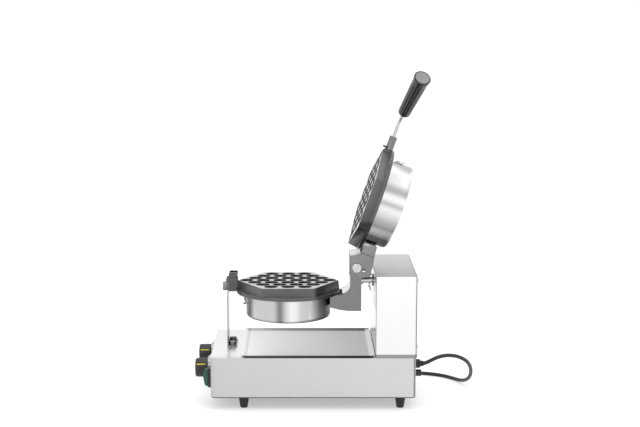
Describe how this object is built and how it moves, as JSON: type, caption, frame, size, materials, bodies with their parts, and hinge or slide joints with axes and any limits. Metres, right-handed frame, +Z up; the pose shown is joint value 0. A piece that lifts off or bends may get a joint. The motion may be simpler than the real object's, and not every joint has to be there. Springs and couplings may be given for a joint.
{
  "type": "bubble waffle maker",
  "caption": "Turn-over bubble waffle maker: hinged hexagonal cast plates with round cavities on a turning shaft, above a stainless base with rear tower, drip tray, knobs and cord.",
  "frame": {"origin": "on the table under the middle of the machine's footprint box, leaving out the cord and plug", "axes": "+X is the user's right, +Y runs from the control panel to the rear, +Z is up"},
  "size_m": [0.367, 0.5607, 0.6584],
  "materials": {
    "stainless_sheet": "bright stainless sheet with a fine grain",
    "brushed_stainless": "stainless with a visible brushed grain",
    "plain_steel": "grey machined and welded steel",
    "bright_steel": "bright plated steel",
    "nonstick_casting": "cast aluminium with a dark semi-gloss non-stick coat",
    "element_sheath": "heat-darkened element sheath",
    "bronze": "plain bearing bronze",
    "black_plastic": "black moulded plastic with a soft sheen",
    "black_rubber": "matt black rubber",
    "cord_jacket": "smooth black cord jacket",
    "grey_plastic": "light grey matt plastic",
    "ceramic": "off-white ceramic and moulded insulation",
    "green_plastic": "green rocker plastic",
    "clear_boot": "clear green-tinted soft boot",
    "amber_lens": "amber pilot lamp lens"
  },
  "bodies": {
    "base": {"base_housing": "stainless_sheet", "bottom_plate": "plain_steel", "foot_front_left": "black_rubber", "foot_front_right": "black_rubber", "foot_rear_left": "black_rubber", "foot_rear_right": "black_rubber", "tower_shell": "stainless_sheet", "tower_back_cover": "stainless_sheet", "cover_screw_1": "bright_steel", "cover_screw_2": "bright_steel", "cover_screw_3": "bright_steel", "cover_screw_4": "bright_steel", "shaft_front_bushing": "bronze", "shaft_rear_bushing": "bronze", "bearing_bracket": "plain_steel", "support_bracket": "stainless_sheet", "support_bolt_left": "bright_steel", "support_bolt_right": "bright_steel", "timer_bezel": "bright_steel", "thermostat_bezel": "bright_steel", "timer_body": "ceramic", "thermostat_body": "grey_plastic", "switch_frame": "black_plastic", "switch_boot": "clear_boot", "heating_lamp": "amber_lens", "terminal_block": "ceramic", "strain_relief": "black_rubber", "fuse_holder": "black_plastic", "fuse_cap": "black_plastic", "power_cord": "cord_jacket", "cord_coil": "cord_jacket", "plug": "cord_jacket"},
    "tray": {"drip_tray": "brushed_stainless"},
    "turning_unit": {"lower_plate": "nonstick_casting", "lower_heater_housing": "brushed_stainless", "lower_heating_element": "element_sheath", "lower_housing_clip": "plain_steel", "lower_bracket": "plain_steel", "turn_shaft": "bright_steel", "split_pin": "bright_steel", "shaft_collar": "bright_steel", "front_journal": "plain_steel", "latch_fork": "plain_steel", "hinge_pin": "bright_steel", "hinge_nut": "bright_steel"},
    "lid": {"upper_plate": "nonstick_casting", "upper_heater_housing": "brushed_stainless", "upper_heating_element": "element_sheath", "upper_housing_clip": "plain_steel", "upper_bracket": "plain_steel", "handle_boss": "plain_steel"},
    "handle": {"handle_rod": "bright_steel", "handle_grip": "black_plastic", "grip_end_cap": "grey_plastic", "lock_pin": "bright_steel"},
    "timer_dial": {"timer_knob": "black_plastic"},
    "thermostat_dial": {"thermostat_knob": "black_plastic"},
    "rocker": {"switch_rocker": "green_plastic"}
  },
  "joints": [
    {"name": "turn_over", "type": "hinge", "parent": "base", "child": "turning_unit", "pos_m": [0, 0, 0.234], "axis": [0, 1, 0], "range_deg": [-25, 25]},
    {"name": "lid_hinge", "type": "hinge", "parent": "turning_unit", "child": "lid", "pos_m": [0, 0.09194, 0.265], "axis": [1, 0, 0], "range_deg": [0, 109.8]},
    {"name": "handle_twist", "type": "hinge", "parent": "lid", "child": "handle", "pos_m": [0, 0.1561, 0.49783], "axis": [0, 0.3387, 0.9409], "range_deg": [0, 60]},
    {"name": "tray_slide", "type": "slide", "parent": "base", "child": "tray", "axis": [1, 0, 0], "range_m": [-0.2, 0.2]},
    {"name": "timer_turn", "type": "hinge", "parent": "base", "child": "timer_dial", "pos_m": [-0.06, -0.22, 0.0685], "axis": [0, 1, 0], "range_deg": [0, 270]},
    {"name": "thermostat_turn", "type": "hinge", "parent": "base", "child": "thermostat_dial", "pos_m": [0.06, -0.22, 0.0685], "axis": [0, 1, 0], "range_deg": [0, 270]},
    {"name": "switch_rock", "type": "hinge", "parent": "base", "child": "rocker", "pos_m": [0.1, -0.19406, 0.06], "axis": [-1, 0, 0], "range_deg": [0, 22]}
  ]
}
